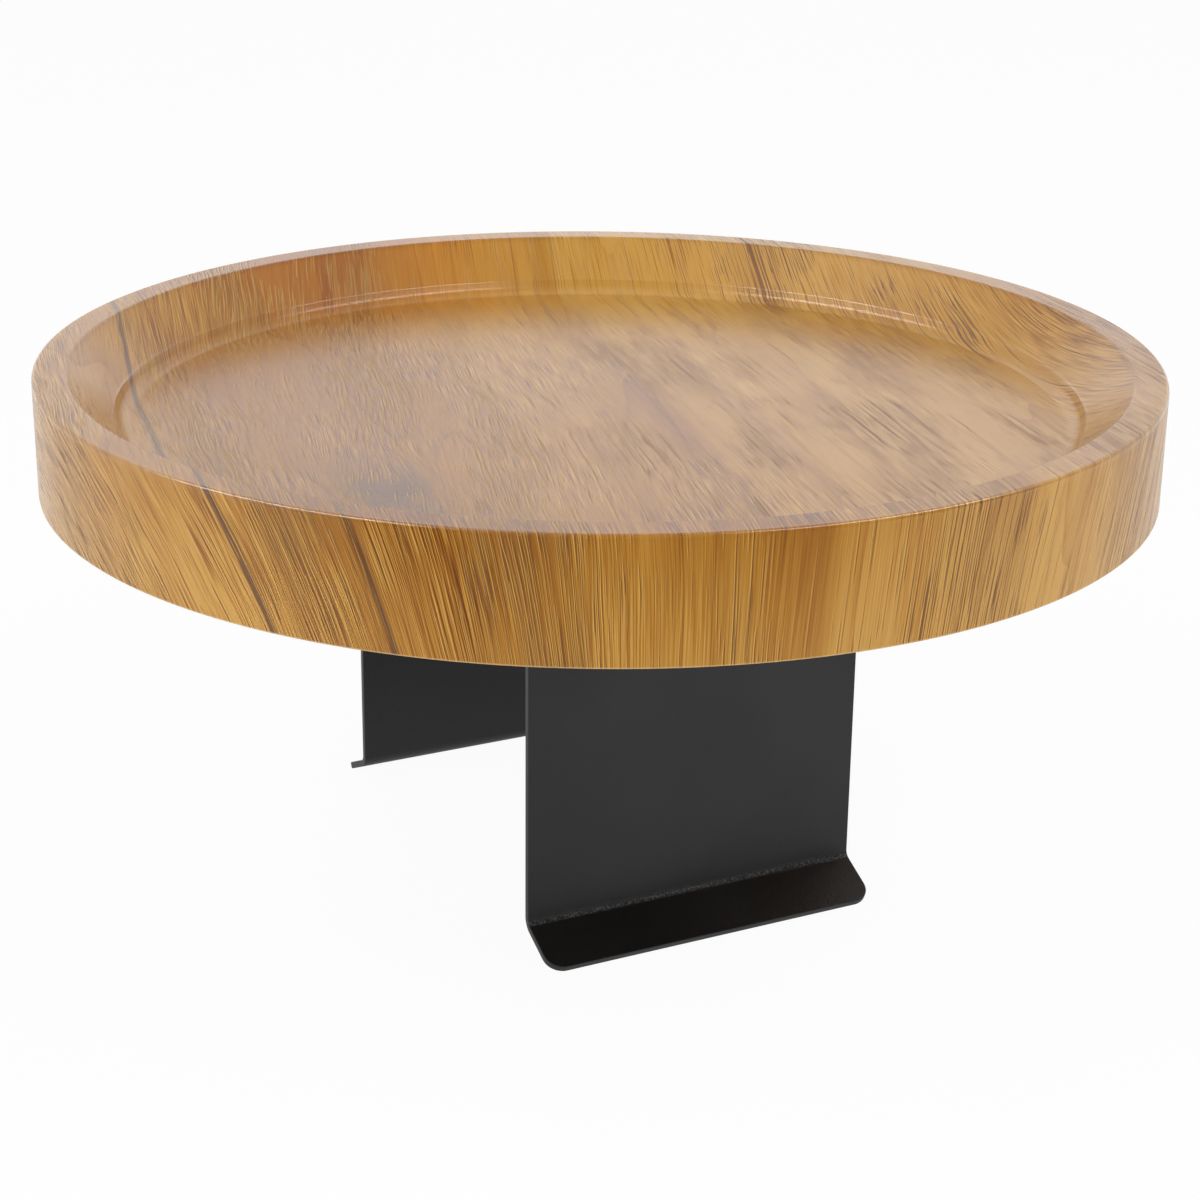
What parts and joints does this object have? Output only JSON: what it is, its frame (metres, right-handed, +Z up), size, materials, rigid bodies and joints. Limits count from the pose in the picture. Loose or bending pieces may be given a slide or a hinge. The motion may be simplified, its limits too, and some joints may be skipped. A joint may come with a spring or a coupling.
{
  "type": "sofa arm tray",
  "caption": "Round wood-look tray with a raised rim on bent steel brackets that hang over a sofa arm and slide apart to suit its width.",
  "frame": {"origin": "under the tray's centre, on the plane that the brackets' feet stand on", "axes": "+Z up, out of the tray; X along the sofa arm; Y across it, the way the brackets slide"},
  "size_m": [0.3, 0.3, 0.1423],
  "materials": {
    "wood_film": "satin printed wood-grain film",
    "fibreboard": "sanded",
    "backing_sheet": "matte",
    "powder_coat": "satin black powder coat",
    "plated_steel": "bright zinc plate",
    "insert_metal": "plated"
  },
  "bodies": {
    "tray": {"tray_core": "fibreboard", "tray_foil": "wood_film", "underside_laminate": "backing_sheet", "insert_front_left": "insert_metal", "insert_front_right": "insert_metal", "insert_rear_left": "insert_metal", "insert_rear_right": "insert_metal", "flat_washer_front_left": "plated_steel", "flat_washer_front_right": "plated_steel", "flat_washer_rear_left": "plated_steel", "flat_washer_rear_right": "plated_steel", "spring_washer_front_left": "plated_steel", "spring_washer_front_right": "plated_steel", "spring_washer_rear_left": "plated_steel", "spring_washer_rear_right": "plated_steel", "clamp_bolt_front_left": "plated_steel", "clamp_bolt_front_right": "plated_steel", "clamp_bolt_rear_left": "plated_steel", "clamp_bolt_rear_right": "plated_steel"},
    "front_bracket": {"bracket_front": "powder_coat"},
    "rear_bracket": {"bracket_rear": "powder_coat"}
  },
  "joints": [
    {"name": "front_slide", "type": "slide", "parent": "tray", "child": "front_bracket", "axis": [0, -1, 0], "range_m": [0, 0.028]},
    {"name": "rear_slide", "type": "slide", "parent": "tray", "child": "rear_bracket", "axis": [0, 1, 0], "range_m": [0, 0.028]}
  ]
}
